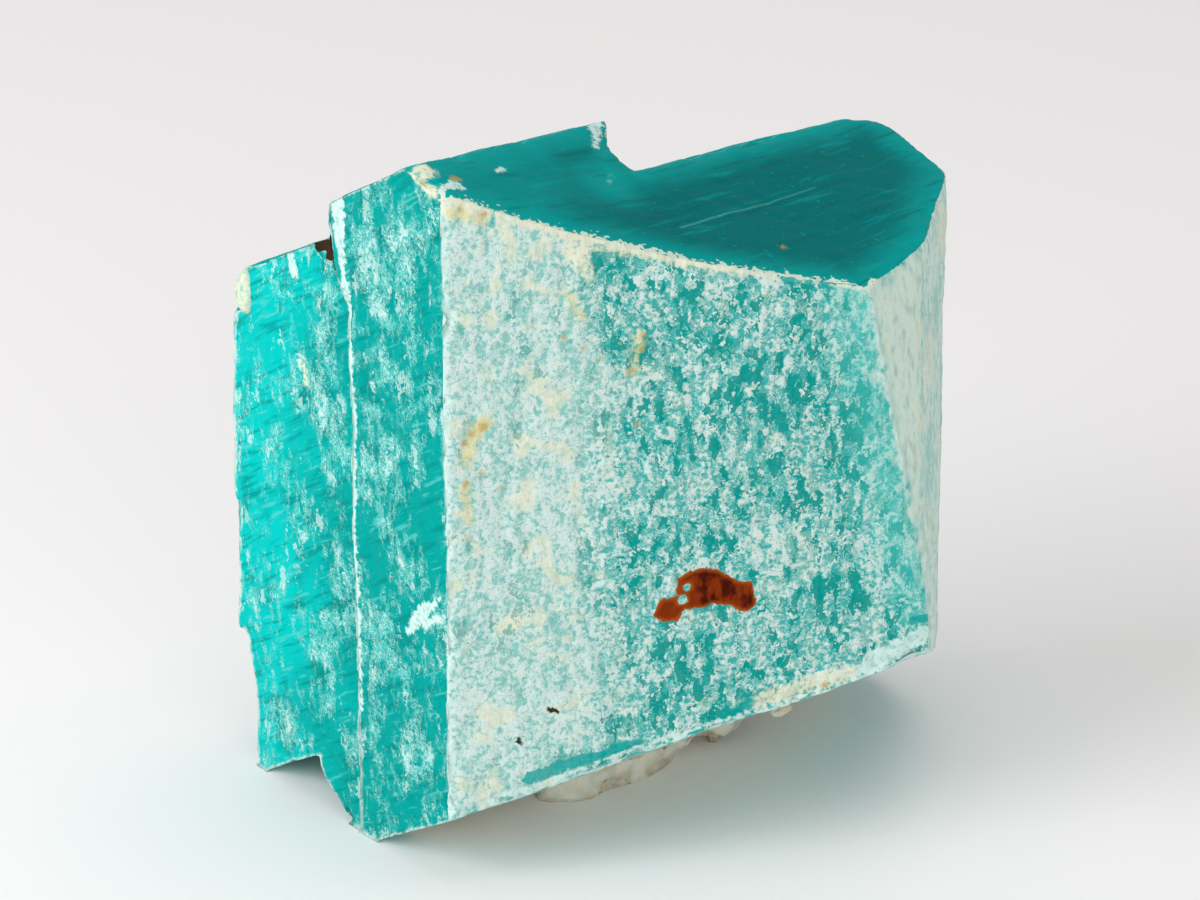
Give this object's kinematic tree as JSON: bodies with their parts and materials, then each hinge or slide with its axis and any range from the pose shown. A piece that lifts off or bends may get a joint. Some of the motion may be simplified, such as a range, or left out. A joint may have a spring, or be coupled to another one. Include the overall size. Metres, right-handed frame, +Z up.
{
  "type": "rough amazonite crystal",
  "caption": "Blocky blue-green feldspar crystal with a frosted white front, bright left side, dark sloping notched top and a pale crust under it.",
  "frame": {"origin": "centre of the stone's box in plan, on the surface that it stands on", "axes": "+Z up along the crystal's upright edges, -Y towards the wide white front face, +X to the right of someone who looks at that face"},
  "size_m": [0.0462, 0.0308, 0.0482],
  "materials": {
    "amazonite": "blue-green feldspar with a white albite frosting on the wide front face, satin on the grown faces"
  },
  "bodies": {
    "root": {"amazonite_crystal": "amazonite"}
  },
  "joints": []
}
